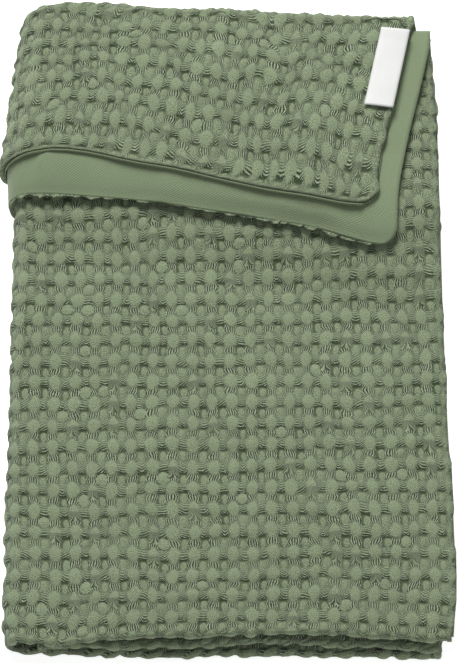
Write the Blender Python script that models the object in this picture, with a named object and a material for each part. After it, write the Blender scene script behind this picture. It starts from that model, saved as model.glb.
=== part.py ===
"""A double-faced cot blanket, folded for the shelf: a waffle face, a plain lining and a sewn label.

The cloth is folded in half across, with the lining inside. Both top ends are turned down as a
cuff, so that the face shows on the upper flap and the lining on the lower one. The strip is then
folded in three lengthwise: the near third lies on top, wraps round on the left to the bottom
third, and that wraps round on the right to the middle third, whose edge is tucked inside.

Units are metres, +Z is up, +X is to the right and +Y runs from the front crests to the cuff. The
origin is on the surface that the blanket lies on, under the middle of its outline.
"""
import math

import bmesh
import bpy
from mathutils import Matrix, Vector

# One doubled cloth, measured inward from the outer side of its waffle face.
PLY = 0.00467             # waffle cloth, lining and the air that goes with them
FACE_AIR = 0.00028        # half of the gap between two waffle faces
WAFFLE_THICK = 0.0032
SEAM_GAP = 0.0003         # between the waffle cloth and its lining
LINING_THICK = 0.0006
WAFFLE_SIDES = (FACE_AIR, FACE_AIR + WAFFLE_THICK)
LINING_SIDES = (WAFFLE_SIDES[1] + SEAM_GAP, WAFFLE_SIDES[1] + SEAM_GAP + LINING_THICK)

# The middle of the outline, in the coordinates that the tables below use.
OUTLINE_MIDDLE = Vector((-0.00558, 0.00072, 0.0))

# Rows of the stack, front to back: the line that a row follows, how far behind that line it
# lies, and how many plies each third holds there.
ROW_FOLLOWS, ROW_BEHIND, ROW_PLIES = 0, 1, 2
ROWS = (
    ("crest", 0.000, 2.00),
    ("level", -0.250, 2.00),
    ("level", -0.190, 2.00),
    ("level", -0.120, 2.00),
    ("level", -0.050, 2.00),
    ("lower_hem", -0.056, 2.00),
    ("lower_hem", -0.037, 2.30),
    ("lower_hem", -0.017, 2.80),
    ("lower_hem", 0.000, 3.10),
    ("upper_hem", -0.015, 3.60),
    ("upper_hem", 0.000, 4.00),
    ("upper_hem", 0.050, 4.00),
    ("cuff_fold", -0.058, 4.00),
    ("cuff_fold", -0.008, 4.00),
    ("cuff_fold", 0.000, 4.00),
)
CREST, LOWER_HEM, UPPER_HEM, FLAP_MIDDLE, CUFF_START, INNER_FOLD, OUTER_FOLD = 0, 8, 10, 11, 12, 13, 14

# Lines across the blanket: x, then y of the line there.
LOWER_HEM_LINE = (
    (-0.170, 0.1080), (-0.100, 0.1035), (-0.050, 0.0975), (0.000, 0.0870),
    (0.050, 0.0755), (0.100, 0.0615), (0.130, 0.0580), (0.168, 0.0560),
)
UPPER_HEM_LINE = (
    (-0.175, 0.1400), (-0.130, 0.1405), (-0.105, 0.1385), (-0.080, 0.1330), (-0.040, 0.1250),
    (0.000, 0.1160), (0.050, 0.1020), (0.100, 0.0910), (0.130, 0.0880), (0.168, 0.0850),
)
CUFF_FOLD_LINE = (
    (-0.176, 0.2600), (-0.155, 0.2665), (-0.130, 0.2700), (-0.090, 0.2685), (-0.040, 0.2645),
    (0.000, 0.2635), (0.080, 0.2585), (0.168, 0.2560),
)
# The front outline of each third, where its crest reaches furthest.
TOP_CREST = (
    (-0.168, -0.2700), (-0.146, -0.2750), (-0.114, -0.2750), (-0.082, -0.2713), (-0.039, -0.2688),
    (0.005, -0.2669), (0.069, -0.2669), (0.112, -0.2688), (0.168, -0.2730),
)
MIDDLE_CREST = (
    (-0.141, -0.2732), (-0.104, -0.2737), (-0.039, -0.2737), (0.026, -0.2699), (0.069, -0.2713),
    (0.112, -0.2737), (0.160, -0.2772),
)
BOTTOM_CREST = (
    (-0.168, -0.2725), (-0.126, -0.2735), (-0.083, -0.2747), (-0.039, -0.2768), (0.004, -0.2747),
    (0.048, -0.2747), (0.091, -0.2760), (0.134, -0.2768), (0.160, -0.2784),
)

# Lines along the blanket: y, then x of the line there.
LEFT_TURN = (
    (-0.275, -0.1515), (-0.225, -0.1520), (-0.165, -0.1525), (-0.065, -0.1530), (0.020, -0.1532),
    (0.105, -0.1535), (0.145, -0.1555), (0.185, -0.1505), (0.227, -0.1470), (0.255, -0.1440),
    (0.285, -0.1400),
)
RIGHT_TURN = (
    (-0.275, 0.1490), (-0.230, 0.1525), (-0.150, 0.1560), (-0.060, 0.1575), (0.000, 0.1570),
    (0.050, 0.1510), (0.100, 0.1470), (0.190, 0.1475), (0.260, 0.1440), (0.285, 0.1420),
)
TUCKED_EDGE = ((-0.275, -0.1410), (0.060, -0.1410), (0.150, -0.1350), (0.285, -0.1280))
FREE_EDGE = (
    (-0.275, 0.1640), (-0.257, 0.1658), (-0.232, 0.1670), (-0.190, 0.1675), (-0.150, 0.1667),
    (-0.100, 0.1652), (-0.040, 0.1645), (0.020, 0.1640), (0.110, 0.1630), (0.230, 0.1605),
    (0.285, 0.1595),
)
UNDER_FREE_EDGE = FREE_EDGE[:9] + ((0.200, 0.1580), (0.265, 0.1480), (0.285, 0.1470))
LOWER_FLAP_EDGE = (
    (0.055, 0.1300), (0.075, 0.1300), (0.100, 0.1310), (0.145, 0.1390), (0.171, 0.1447),
    (0.196, 0.1505), (0.222, 0.1560), (0.243, 0.1595), (0.285, 0.1600),
)
UPPER_FLAP_EDGE = (
    (0.085, 0.1150), (0.105, 0.1156), (0.130, 0.1183), (0.160, 0.1250), (0.177, 0.1296),
    (0.250, 0.1450), (0.265, 0.1468), (0.285, 0.1470),
)
LEFT_LOOP = 0.0055        # free room of the left turn beside the tucked edge
RIGHT_LOOP = 0.0003       # the right turn is pressed flat
CORNER_RADIUS = 0.014
UPPER_CORNER_ROWS = (0.0, 0.04, 0.14, 0.34)    # behind the hem, as shares of the next row
LOWER_CORNER_ROWS = (0.45, 0.14, 0.0)
LINING_ROLL = 0.0008      # the seam lets the lining show this far past the face

# Soft rises of the top third: middle x, middle y, reach in x, reach in y, height.
RISES = (
    (0.020, -0.130, 0.110, 0.090, 0.0020),
    (-0.090, 0.000, 0.080, 0.110, 0.0014),
    (0.145, -0.080, 0.060, 0.130, 0.0018),
    (-0.130, -0.230, 0.070, 0.060, 0.0012),
    (-0.020, 0.200, 0.170, 0.130, 0.0015),
)

# Plies of the folded section: number, the fold height it is measured from in plies, and the
# sense. Odd plies have their waffle face down, even plies have it up.
PLY_BASE = {1: (0, 1), 2: (2, -1), 3: (2, 1), 4: (4, -1)}
OUTER_TURN_STEPS, INNER_TURN_STEPS, CREST_STEPS = 6, 4, 4
TOP_STEPS, LEFT_STEPS, BOTTOM_STEPS, RIGHT_STEPS, MIDDLE_STEPS = 9, 6, 6, 5, 6

# The ribbon label on the upper flap.
LABEL_TOP_RIGHT = Vector((0.1447, 0.2482))
LABEL_WIDE, LABEL_LONG, LABEL_THICK = 0.023, 0.075, 0.0007
LABEL_LEAN = math.radians(11.5)       # of its long sides, to the left
LABEL_SKEW = math.radians(7.0)        # of its short sides, up to the left
LABEL_LIFT = 0.0004
LABEL_COLUMNS, LABEL_ROWS = 3, 6

SAGE = (0.235, 0.310, 0.195)
SAGE_LINING = (0.265, 0.340, 0.215)
RIBBON_WHITE = (0.86, 0.86, 0.84)


def clear_scene():
    for thing in list(bpy.data.objects):
        bpy.data.objects.remove(thing)


def fabric(name, colour, roughness):
    material = bpy.data.materials.new(name)
    material.use_nodes = True
    shader = material.node_tree.nodes["Principled BSDF"]
    shader.inputs["Base Color"].default_value = (*colour, 1.0)
    shader.inputs["Roughness"].default_value = roughness
    shader.inputs["Metallic"].default_value = 0.0
    return material


def blend(low, high, share):
    return low + (high - low) * share


def follow(line, at):
    """Read a smooth curve through the points of a line, level past its ends."""
    if at <= line[0][0]:
        return line[0][1]
    if at >= line[-1][0]:
        return line[-1][1]
    last = len(line) - 1
    step = next(i for i in range(last) if at <= line[i + 1][0])
    slopes = []
    for i in (step, step + 1):
        before, after = line[max(i - 1, 0)], line[min(i + 1, last)]
        slopes.append((after[1] - before[1]) / (after[0] - before[0]))
    (x0, y0), (x1, y1) = line[step], line[step + 1]
    run = x1 - x0
    t = (at - x0) / run
    return (
        y0 * (1 + 2 * t) * (1 - t) ** 2
        + slopes[0] * run * t * (1 - t) ** 2
        + y1 * t * t * (3 - 2 * t)
        + slopes[1] * run * t * t * (t - 1)
    )


def crest_line(x, thirds):
    """The middle of the front crests' turns, shared out between top, middle and bottom third."""
    front = sum(
        share * follow(line, x)
        for share, line in zip(thirds, (TOP_CREST, MIDDLE_CREST, BOTTOM_CREST))
        if share
    )
    return front + PLY - FACE_AIR


def row_y(row, x, thirds):
    """Where a row lies at x. A row between two others is given as a fraction."""
    lower = min(int(row), len(ROWS) - 2)
    ends = []
    for index in (lower, lower + 1):
        follows = ROWS[index][ROW_FOLLOWS]
        line = {
            "level": 0.0,
            "crest": crest_line(x, thirds) if follows == "crest" else 0.0,
            "lower_hem": follow(LOWER_HEM_LINE, x),
            "upper_hem": follow(UPPER_HEM_LINE, x),
            "cuff_fold": follow(CUFF_FOLD_LINE, x),
        }[follows]
        ends.append(line + ROWS[index][ROW_BEHIND])
    return blend(ends[0], ends[1], row - lower)


def third_height(row):
    """The height of one third of the stack at a row."""
    lower = min(int(row), len(ROWS) - 2)
    plies = blend(ROWS[lower][ROW_PLIES], ROWS[lower + 1][ROW_PLIES], row - lower)
    return plies * PLY


def rise(x, y):
    total = 0.0
    for middle_x, middle_y, reach_x, reach_y, height in RISES:
        total += height * math.exp(-((x - middle_x) / reach_x) ** 2 - ((y - middle_y) / reach_y) ** 2)
    return total


def top_underside(row, x, y):
    """The height that the top third is laid on."""
    return 2 * third_height(row) - FACE_AIR + rise(x, y)


def rounded(edge, y, hem_y, inward):
    """Draw a side edge in where the cloth's corner rounds off at the hem."""
    into = CORNER_RADIUS - (y - hem_y)
    if into <= 0.0:
        return edge
    into = min(into, CORNER_RADIUS)
    return edge + inward * (CORNER_RADIUS - math.sqrt(CORNER_RADIUS ** 2 - into ** 2))


def section():
    """Stations along the folded section, from the upper flap's hem to the lower flap's hem.

    Each is a row, the ply it belongs to, and the turn it lies on: None, or the height of the
    turn's middle in plies, its angle from the start, and 1 for a turn at the back, -1 in front.
    """
    stations = [(UPPER_HEM + share, 4, None) for share in UPPER_CORNER_ROWS]
    stations += [(row, 4, None) for row in (FLAP_MIDDLE, CUFF_START, OUTER_FOLD)]
    stations += turn(OUTER_FOLD, 4, 1, 2, OUTER_TURN_STEPS, 1)
    stations += [(OUTER_FOLD, 1, None)]
    stations += [(row, 1, None) for row in range(CUFF_START, CREST - 1, -1)]
    stations += turn(CREST, 1, 2, 1, CREST_STEPS, -1)
    stations += [(row, 2, None) for row in range(CREST, INNER_FOLD + 1)]
    stations += turn(INNER_FOLD, 2, 3, 2, INNER_TURN_STEPS, 1)
    stations += [(row, 3, None) for row in range(INNER_FOLD, LOWER_HEM, -1)]
    stations += [(LOWER_HEM + share, 3, None) for share in LOWER_CORNER_ROWS]
    return stations


def turn(row, ply, next_ply, middle, steps, way):
    half = steps // 2
    return [
        (row, ply if step <= half else next_ply, (middle, math.pi * step / steps, way, ply))
        for step in range(1, steps)
    ]


def station_place(station, depth):
    """How far a station lies behind its row's line, and its height in the strip."""
    row, ply, bend = station
    base, sense = PLY_BASE[ply]
    if bend is None:
        return 0.0, base * PLY + sense * depth
    middle, angle, way, first_ply = bend
    base, sense = PLY_BASE[first_ply]
    start = base * PLY + sense * depth - middle * PLY
    return way * abs(start) * math.sin(angle), middle * PLY + start * math.cos(angle)


def columns():
    """Stations along the strip, from its free edge to its tucked edge."""
    strip = [("top", step / TOP_STEPS) for step in range(TOP_STEPS)]
    strip += [("left", math.pi * step / LEFT_STEPS) for step in range(LEFT_STEPS)]
    strip += [("bottom", step / BOTTOM_STEPS) for step in range(BOTTOM_STEPS)]
    strip += [("right", math.pi * step / RIGHT_STEPS) for step in range(RIGHT_STEPS)]
    strip += [("middle", step / MIDDLE_STEPS) for step in range(MIDDLE_STEPS + 1)]
    return strip


def thirds_shared(part, at):
    """How a column is shared between the top, middle and bottom third."""
    if part == "left":
        return (1 - at / math.pi, 0.0, at / math.pi)
    if part == "right":
        return (0.0, at / math.pi, 1 - at / math.pi)
    return {"top": (1, 0, 0), "middle": (0, 1, 0), "bottom": (0, 0, 1)}[part]


def side_edge(ply, part, y, x, thirds, roll):
    """The strip's own edges: the free edge of the top third, the tucked one of the middle."""
    hem = {3: LOWER_HEM, 4: UPPER_HEM}.get(ply)
    hem_y = row_y(hem, x, thirds) if hem else None
    if part == "middle":
        edge, inward = follow(TUCKED_EDGE, y) - roll, 1
    else:
        line = {1: UNDER_FREE_EDGE, 2: FREE_EDGE, 3: LOWER_FLAP_EDGE, 4: UPPER_FLAP_EDGE}[ply]
        edge, inward = follow(line, y) + roll, -1
    return rounded(edge, y, hem_y, inward) if hem else edge


def cloth_point(column, station, depth, roll=0.0):
    """A point of the folded cloth: its place along the strip, along the section and in depth."""
    part, at = column
    row, ply, _ = station
    behind, height = station_place(station, depth)
    thirds = thirds_shared(part, at)
    x = {"left": LEFT_TURN[0][1], "right": RIGHT_TURN[0][1]}.get(part, 0.0)
    for _ in range(4):
        y = row_y(row, x, thirds)
        left, right = follow(LEFT_TURN, y), follow(RIGHT_TURN, y)
        if part == "top":
            x = blend(side_edge(ply, part, y, x, thirds, roll), left, at)
        elif part == "left":
            x = left - (LEFT_LOOP + height) * math.sin(at)
        elif part == "bottom":
            x = blend(left, right, at)
        elif part == "right":
            x = right + (RIGHT_LOOP + height) * math.sin(at)
        else:
            x = blend(right, side_edge(ply, part, y, x, thirds, roll), at)
    bottom_top = third_height(row) - FACE_AIR
    if part == "top":
        z = top_underside(row, x, y) + height
    elif part == "left":
        above = top_underside(row, left, y)
        z = (above + bottom_top) / 2 + ((above - bottom_top) / 2 + height) * math.cos(at)
    elif part == "right":
        z = bottom_top - height * math.cos(at)
    else:
        z = bottom_top + (height if part == "middle" else -height)
    return Vector((x, y + behind, z)) - OUTLINE_MIDDLE


def block(column_count, row_count):
    """A slab of unit cells: each corner's own coordinates are its column, row and side."""
    mesh = bmesh.new()
    wide, long = column_count - 1, row_count - 1
    bmesh.ops.create_grid(
        mesh, x_segments=wide, y_segments=long, size=0.5,
        matrix=Matrix.Translation((wide / 2, long / 2, 0.0)) @ Matrix.Diagonal((wide, long, 1.0, 1.0)),
    )
    bmesh.ops.solidify(mesh, geom=mesh.faces[:], thickness=1.0)
    return mesh


def solid(name, mesh, material):
    if mesh.calc_volume(signed=True) < 0.0:
        bmesh.ops.reverse_faces(mesh, faces=mesh.faces[:])
    data = bpy.data.meshes.new(name)
    mesh.to_mesh(data)
    mesh.free()
    data.materials.append(material)
    data.shade_smooth()
    data.set_sharp_from_angle(angle=math.radians(50))
    thing = bpy.data.objects.new(name, data)
    bpy.context.scene.collection.objects.link(thing)
    return thing


def folded_cloth(name, sides, hem_roll, material):
    """A whole cloth of the blanket, laid along the folded section and the strip."""
    strip, path = columns(), section()
    mesh = block(len(strip), len(path))
    for corner in mesh.verts:
        column = strip[round(corner.co.x)]
        station = path[round(corner.co.y)]
        depth = sides[0] if abs(corner.co.z) < 0.5 else sides[1]
        place = cloth_point(column, station, depth, hem_roll)
        if round(corner.co.y) in (0, len(path) - 1):
            place.y -= hem_roll
        corner.co = place
    return solid(name, mesh, material)


def label():
    """The ribbon label, laid flat along the upper flap's right edge."""
    mesh = block(LABEL_COLUMNS, LABEL_ROWS)
    down = Vector((-math.sin(LABEL_LEAN), -math.cos(LABEL_LEAN)))
    across = Vector((-math.cos(LABEL_SKEW), math.sin(LABEL_SKEW)))
    for corner in mesh.verts:
        over = LABEL_WIDE * corner.co.x / (LABEL_COLUMNS - 1)
        along = LABEL_LONG * corner.co.y / (LABEL_ROWS - 1)
        x, y = LABEL_TOP_RIGHT + across * over + down * along
        lift = LABEL_LIFT + (0.0 if abs(corner.co.z) < 0.5 else LABEL_THICK)
        flap_top = top_underside(UPPER_HEM, x, y) + 4 * PLY - FACE_AIR
        corner.co = Vector((x, y, flap_top + lift)) - OUTLINE_MIDDLE
    return solid("label", mesh, fabric("ribbon", RIBBON_WHITE, 0.6))


def main():
    clear_scene()
    folded_cloth("waffle_cloth", WAFFLE_SIDES, 0.0, fabric("waffle", SAGE, 0.95))
    folded_cloth("lining_cloth", LINING_SIDES, LINING_ROLL, fabric("lining", SAGE_LINING, 0.85))
    label()


main()
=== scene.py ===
# %% [markdown]
# # A folded waffle blanket
#
# This lesson dresses a cot blanket that lies folded for the shelf. The real one has two cloths: a
# puffy waffle weave outside and a fine twill lining inside, sewn together along their edges. A
# blank ribbon label sits on the upper flap.
#
# The packed model already has the true folds as plain solids. What it lacks is everything that
# makes cotton look like cotton: the waffle's pads and hollows, single yarns, hems, a lining with
# its twill line, and soft light. We add those here, piece by piece, in the same frame.

import math
from types import SimpleNamespace

import bmesh
import bpy
import numpy as np
from mathutils import Matrix, Vector


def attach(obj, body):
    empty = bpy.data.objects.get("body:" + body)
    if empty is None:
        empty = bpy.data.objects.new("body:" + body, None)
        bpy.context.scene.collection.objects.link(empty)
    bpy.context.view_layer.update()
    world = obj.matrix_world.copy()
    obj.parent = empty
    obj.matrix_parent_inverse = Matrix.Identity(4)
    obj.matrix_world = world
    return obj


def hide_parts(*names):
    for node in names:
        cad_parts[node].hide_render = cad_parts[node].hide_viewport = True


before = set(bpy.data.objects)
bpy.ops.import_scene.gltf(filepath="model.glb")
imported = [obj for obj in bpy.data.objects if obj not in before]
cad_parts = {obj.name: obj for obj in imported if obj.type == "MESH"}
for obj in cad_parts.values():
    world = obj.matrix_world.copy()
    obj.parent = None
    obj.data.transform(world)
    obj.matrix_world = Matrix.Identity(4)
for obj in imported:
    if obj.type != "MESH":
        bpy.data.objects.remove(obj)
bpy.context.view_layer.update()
print("nodes:", sorted(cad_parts))

# %% [markdown]
# ## The camera
#
# Cameras come early, because every look at the work goes through them. This one stands in front of
# the blanket, 60 degrees above the table, three metres off with a long lens. A long lens keeps the
# columns of the waffle nearly parallel. The tables of this lesson are measured on the table top,
# and the frame's origin is under the middle of the outline, so that middle is subtracted.

# %% Camera
OUTLINE_MIDDLE = Vector((-0.00558, 0.00072, 0.0))
LOOK_AT = Vector((0.0010, -0.0115, 0.0260)) - OUTLINE_MIDDLE
CAMERA_HEIGHT = math.radians(60.0)
CAMERA_DISTANCE = 2.9523
LENS_MM, SENSOR_MM, SEES_TO = 208.67, 36.0, 50.0

camera = bpy.data.objects.new("camera", bpy.data.cameras.new("camera"))
camera.data.lens, camera.data.sensor_width, camera.data.clip_end = LENS_MM, SENSOR_MM, SEES_TO
camera.rotation_euler = (math.pi / 2 - CAMERA_HEIGHT, 0.0, 0.0)
back = Vector((0.0, -math.cos(CAMERA_HEIGHT), math.sin(CAMERA_HEIGHT)))
camera.location = LOOK_AT + CAMERA_DISTANCE * back
bpy.context.scene.collection.objects.link(camera)
bpy.context.scene.camera = camera
print("camera at", [round(value, 3) for value in camera.location])

# %% [markdown]
# ## The map of the folds
#
# The blanket was folded in half across, its two top ends were turned down as a cuff, and the strip
# was folded in three lengthwise. We could drape this with a cloth simulation, but up to twelve
# layers with sharp folds rarely settle well. So we keep the map that the solids were made from: it
# takes a place on the flat cloth and says where that place lies after folding.
#
# The map needs the lines that the photograph gives: hems, folds, crests and side edges. They are
# short tables, and a smooth curve is read through each.

# %% The lines of the folded blanket
PLY = 0.00467             # waffle cloth, lining and the air that goes with them
FACE_AIR = 0.00028        # half of the gap between two waffle faces
WAFFLE_INSIDE = 0.00348   # depth of the waffle cloth's inner side
LINING_SIDES = (0.00378, 0.00438)
LEFT_LOOP, RIGHT_LOOP = 0.0055, 0.0003
CORNER_RADIUS = 0.014
LINING_ROLL = 0.0008
CUFF_INSIDE = -0.008      # the inner fold lies this far in front of the outer one

ROWS = (
    ("crest", 0.000, 2.00), ("level", -0.250, 2.00), ("level", -0.190, 2.00),
    ("level", -0.120, 2.00), ("level", -0.050, 2.00), ("lower_hem", -0.056, 2.00),
    ("lower_hem", -0.037, 2.30), ("lower_hem", -0.017, 2.80), ("lower_hem", 0.000, 3.10),
    ("upper_hem", -0.015, 3.60), ("upper_hem", 0.000, 4.00), ("upper_hem", 0.050, 4.00),
    ("cuff_fold", -0.058, 4.00), ("cuff_fold", -0.008, 4.00), ("cuff_fold", 0.000, 4.00),
)
LOWER_HEM_LINE = (
    (-0.170, 0.1080), (-0.100, 0.1035), (-0.050, 0.0975), (0.000, 0.0870),
    (0.050, 0.0755), (0.100, 0.0615), (0.130, 0.0580), (0.168, 0.0560),
)
UPPER_HEM_LINE = (
    (-0.175, 0.1400), (-0.130, 0.1405), (-0.105, 0.1385), (-0.080, 0.1330), (-0.040, 0.1250),
    (0.000, 0.1160), (0.050, 0.1020), (0.100, 0.0910), (0.130, 0.0880), (0.168, 0.0850),
)
CUFF_FOLD_LINE = (
    (-0.176, 0.2600), (-0.155, 0.2665), (-0.130, 0.2700), (-0.090, 0.2685), (-0.040, 0.2645),
    (0.000, 0.2635), (0.080, 0.2585), (0.168, 0.2560),
)
TOP_CREST = (
    (-0.168, -0.2700), (-0.146, -0.2750), (-0.114, -0.2750), (-0.082, -0.2713), (-0.039, -0.2688),
    (0.005, -0.2669), (0.069, -0.2669), (0.112, -0.2688), (0.168, -0.2730),
)
MIDDLE_CREST = (
    (-0.141, -0.2732), (-0.104, -0.2737), (-0.039, -0.2737), (0.026, -0.2699), (0.069, -0.2713),
    (0.112, -0.2737), (0.160, -0.2772),
)
BOTTOM_CREST = (
    (-0.168, -0.2725), (-0.126, -0.2735), (-0.083, -0.2747), (-0.039, -0.2768), (0.004, -0.2747),
    (0.048, -0.2747), (0.091, -0.2760), (0.134, -0.2768), (0.160, -0.2784),
)
LEFT_TURN = (
    (-0.275, -0.1515), (-0.225, -0.1520), (-0.165, -0.1525), (-0.065, -0.1530), (0.020, -0.1532),
    (0.105, -0.1535), (0.145, -0.1555), (0.185, -0.1505), (0.227, -0.1470), (0.255, -0.1440),
    (0.285, -0.1400),
)
RIGHT_TURN = (
    (-0.275, 0.1490), (-0.230, 0.1525), (-0.150, 0.1560), (-0.060, 0.1575), (0.000, 0.1570),
    (0.050, 0.1510), (0.100, 0.1470), (0.190, 0.1475), (0.260, 0.1440), (0.285, 0.1420),
)
TUCKED_EDGE = ((-0.275, -0.1410), (0.060, -0.1410), (0.150, -0.1350), (0.285, -0.1280))
FREE_EDGE = (
    (-0.275, 0.1640), (-0.257, 0.1658), (-0.232, 0.1670), (-0.190, 0.1675), (-0.150, 0.1667),
    (-0.100, 0.1652), (-0.040, 0.1645), (0.020, 0.1640), (0.110, 0.1630), (0.230, 0.1605),
    (0.285, 0.1595),
)
UNDER_FREE_EDGE = FREE_EDGE[:9] + ((0.200, 0.1580), (0.265, 0.1480), (0.285, 0.1470))
LOWER_FLAP_EDGE = (
    (0.055, 0.1300), (0.075, 0.1300), (0.100, 0.1310), (0.145, 0.1390), (0.171, 0.1447),
    (0.196, 0.1505), (0.222, 0.1560), (0.243, 0.1595), (0.285, 0.1600),
)
UPPER_FLAP_EDGE = (
    (0.085, 0.1150), (0.105, 0.1156), (0.130, 0.1183), (0.160, 0.1250), (0.177, 0.1296),
    (0.250, 0.1450), (0.265, 0.1468), (0.285, 0.1470),
)
RISES = (   # soft rises of the top third: middle x and y, reach in x and y, height
    (0.020, -0.130, 0.110, 0.090, 0.0020), (-0.090, 0.000, 0.080, 0.110, 0.0014),
    (0.145, -0.080, 0.060, 0.130, 0.0018), (-0.130, -0.230, 0.070, 0.060, 0.0012),
    (-0.020, 0.200, 0.170, 0.130, 0.0015),
)
print("rows of the stack:", len(ROWS), "and rises of the top third:", len(RISES))

# %% Read a smooth curve through the points of a line
def smooth_between(start, end, start_slope, end_slope, run, t):
    """The cubic from start to end over a run, at share t, with the slopes it leaves and arrives at."""
    return (
        start * (1 + 2 * t) * (1 - t) ** 2
        + start_slope * run * t * (1 - t) ** 2
        + end * t * t * (3 - 2 * t)
        + end_slope * run * t * t * (t - 1)
    )


def follow(line, at):
    """The same curve as in the solids, for a whole array at once. It is level past its ends."""
    where, value = np.array(line, float).T
    last = len(where) - 1
    before, after = np.maximum(np.arange(last + 1) - 1, 0), np.minimum(np.arange(last + 1) + 1, last)
    slope = (value[after] - value[before]) / (where[after] - where[before])
    at = np.clip(at, where[0], where[-1])
    step = np.clip(np.searchsorted(where, at, side="right") - 1, 0, last - 1)
    run = where[step + 1] - where[step]
    t = (at - where[step]) / run
    return smooth_between(value[step], value[step + 1], slope[step], slope[step + 1], run, t)


def blend(low, high, share):
    """From low to high, by a share from 0 to 1."""
    return low + (high - low) * share


def ease(share):
    """0 to 1 with a soft start and a soft end."""
    share = np.clip(share, 0.0, 1.0)
    return share * share * (3 - 2 * share)


print("the cuff folds at y =", float(follow(CUFF_FOLD_LINE, 0.0)))

# %% [markdown]
# ## Cells as a measure
#
# A waffle cloth is easiest to think about in cells. Here one cell is 15 mm wide and 18.5 mm long,
# and a pad sits on every whole number. *Across* counts cells from the free edge of the strip, and
# *along* counts them from the upper flap's hem, over the back fold, to the front crest, back again
# and round to the lower flap's hem. The two numbers are the cloth's UV map as well, so the
# material knows at every point which yarn it is on.
#
# An outer ply takes a longer way round a turn than an inner one does. That is why the flap's side
# edge lies further in than the edge of the ply below it. The table of turns gives where the turns
# begin and end in each ply.

# %% Where plies and turns lie on the cloth
CELL_WIDE, CELL_LONG = 0.0150, 0.0185
FIRST_ACROSS, LAST_ACROSS = 0.0, 66.0
SECTION = (   # from, to, ply, next ply in a turn, line at the start, line at the end
    (0.4, 8.0, 4, 4, "upper_hem", "outer_fold"),
    (8.0, 9.6, 4, 1, "outer_fold", "outer_fold"),
    (9.6, 38.7, 1, 1, "outer_fold", "crest"),
    (38.7, 39.5, 1, 2, "crest", "crest"),
    (39.5, 68.0, 2, 2, "crest", "inner_fold"),
    (68.0, 68.8, 2, 3, "inner_fold", "inner_fold"),
    (68.8, 78.0, 3, 3, "inner_fold", "lower_hem"),
)
FIRST_ALONG, LAST_ALONG = SECTION[0][0], SECTION[-1][1]
FLAP_BACK, TURN_BACK, FRONT_UNDER, FRONT, MAIN_BACK, LOWER_FLAP = (part[1] for part in SECTION[:-1])
TURNS = (   # along, then where the top third, left turn, bottom third and right turn end
    (0.4, 19.2, 24.6, 44.7, 48.6), (8.0, 19.2, 24.6, 44.7, 48.6), (9.6, 21.2, 22.6, 44.2, 45.0),
    (38.7, 21.2, 22.6, 44.2, 45.0), (39.5, 21.4, 24.4, 44.5, 46.4), (60.0, 21.4, 24.4, 44.5, 46.4),
    (68.0, 21.4, 24.9, 44.5, 46.4), (68.8, 20.5, 24.1, 44.2, 46.2), (78.0, 20.5, 24.1, 44.2, 46.2),
)
TOP_THIRD = 24.6            # the flap's left turn ends here, so what comes after is out of sight
COVERED = 60.5              # from here on the lower flap hides the big panel
PLY_BASE = {1: (0, 1), 2: (2, -1), 3: (2, 1), 4: (4, -1)}   # height it is measured from, sense
TURN_MIDDLE = {4: 2, 1: 1, 2: 2}                            # in plies, by the ply a turn leaves
TURN_WAY = {4: 1, 1: -1, 2: 1}
print("flat cloth in m:", round((LAST_ACROSS - FIRST_ACROSS) * CELL_WIDE, 3), "x",
      round((LAST_ALONG - FIRST_ALONG) * CELL_LONG, 3))

# %% Heights of the stack
def crest_line(x, thirds):
    """The y of the front crests' centre, about one ply behind the line that the picture gives."""
    lines = (TOP_CREST, MIDDLE_CREST, BOTTOM_CREST)
    return sum(share * follow(line, x) for share, line in zip(thirds, lines)) + PLY - FACE_AIR


def third_height(x, y, thirds):
    """Height of one third of the stack over a point. It grows from two plies to four at the hems."""
    base = {
        "level": 0.0 * x, "crest": crest_line(x, thirds), "lower_hem": follow(LOWER_HEM_LINE, x),
        "upper_hem": follow(UPPER_HEM_LINE, x), "cuff_fold": follow(CUFF_FOLD_LINE, x),
    }
    behind = np.stack([base[follows] + back for follows, back, _ in ROWS])
    plies = np.array([count for _, _, count in ROWS])[:, None]
    run = np.diff(behind, axis=0)
    climb = np.diff(plies, axis=0) / run
    product = climb[:-1] * climb[1:]
    even = np.where(product > 0, 2 * product / np.where(product > 0, climb[:-1] + climb[1:], 1), 0)
    slope = np.concatenate([0 * even[:1], even, 0 * even[:1]])
    step = np.clip((behind <= y).sum(axis=0) - 1, 0, len(ROWS) - 2)
    here = np.arange(len(step))
    t = np.clip((y - behind[step, here]) / run[step, here], 0, 1)
    return PLY * smooth_between(plies[step, 0], plies[step + 1, 0], slope[step, here],
                                slope[step + 1, here], run[step, here], t)


def rise(x, y):
    """How much the top third rises over a point."""
    return sum(
        height * np.exp(-((x - mid_x) / reach_x) ** 2 - ((y - mid_y) / reach_y) ** 2)
        for mid_x, mid_y, reach_x, reach_y, height in RISES
    )


def top_underside(x, y, height_of_third):
    """The height that the top third is laid on."""
    return 2 * height_of_third - FACE_AIR + rise(x, y)


middle = np.zeros(1)
print("stack at the front in mm:", 3000 * third_height(middle, middle - 0.2, (1, 0, 0)))

# %% Where the edges of each ply are
def rounded(edge, y, hem, inward):
    """Draw a side edge in where the cloth's corner rounds off at the hem."""
    into = np.clip(CORNER_RADIUS - (y - hem), 0.0, CORNER_RADIUS)
    return edge + inward * (CORNER_RADIUS - np.sqrt(CORNER_RADIUS ** 2 - into ** 2))


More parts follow.
